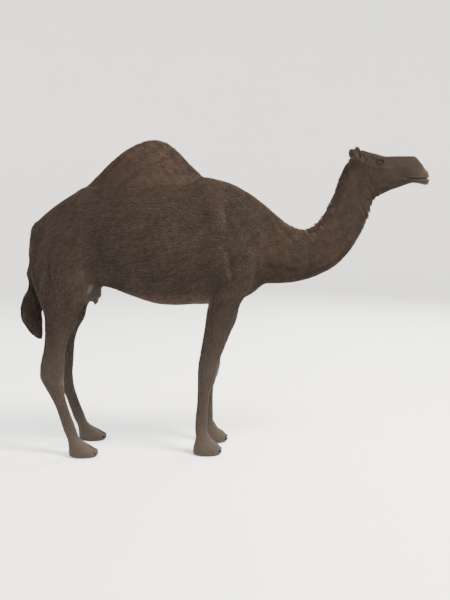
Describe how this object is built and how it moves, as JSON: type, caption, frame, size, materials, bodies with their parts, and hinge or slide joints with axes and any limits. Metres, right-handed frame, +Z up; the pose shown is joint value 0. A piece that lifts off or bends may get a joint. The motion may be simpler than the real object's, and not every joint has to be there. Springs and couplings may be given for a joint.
{
  "type": "dromedary camel",
  "caption": "Life-size still model of a black-brown one-humped camel cow standing on all fours, with her head held level and her tail hanging down.",
  "frame": {"origin": "on the floor, under the middle of the model's length and width", "axes": "+X from the tail to the nose, +Y to the animal's left, +Z up"},
  "size_m": [2.7519, 0.6278, 2.0999],
  "materials": {
    "coat": "short black-brown hair, bleached browner at its tips, duller on the legs and muzzle",
    "hump": "longer black-brown woolly hair with rusty tips",
    "brush": "long near-black tail hair",
    "pad": "hard bare callus, dull grey-brown",
    "udder": "thinly haired soft dark skin",
    "eye": "very dark brown, wet gloss",
    "nail": "dark horn, satin"
  },
  "bodies": {
    "root": {"chest_pad": "pad", "ear_left": "coat", "ear_right": "coat", "eye_left": "eye", "eye_right": "eye", "foreleg_left_cannon": "coat", "foreleg_left_foot": "coat", "foreleg_left_forearm": "coat", "foreleg_right_cannon": "coat", "foreleg_right_foot": "coat", "foreleg_right_forearm": "coat", "head": "coat", "hindleg_left_cannon": "coat", "hindleg_left_foot": "coat", "hindleg_left_gaskin": "coat", "hindleg_right_cannon": "coat", "hindleg_right_foot": "coat", "hindleg_right_gaskin": "coat", "hump": "hump", "nail_foreleg_left_inner": "nail", "nail_foreleg_left_outer": "nail", "nail_foreleg_right_inner": "nail", "nail_foreleg_right_outer": "nail", "nail_hindleg_left_inner": "nail", "nail_hindleg_left_outer": "nail", "nail_hindleg_right_inner": "nail", "nail_hindleg_right_outer": "nail", "neck": "coat", "tail": "coat", "tail_brush": "brush", "trunk": "coat", "udder": "udder"}
  },
  "joints": []
}
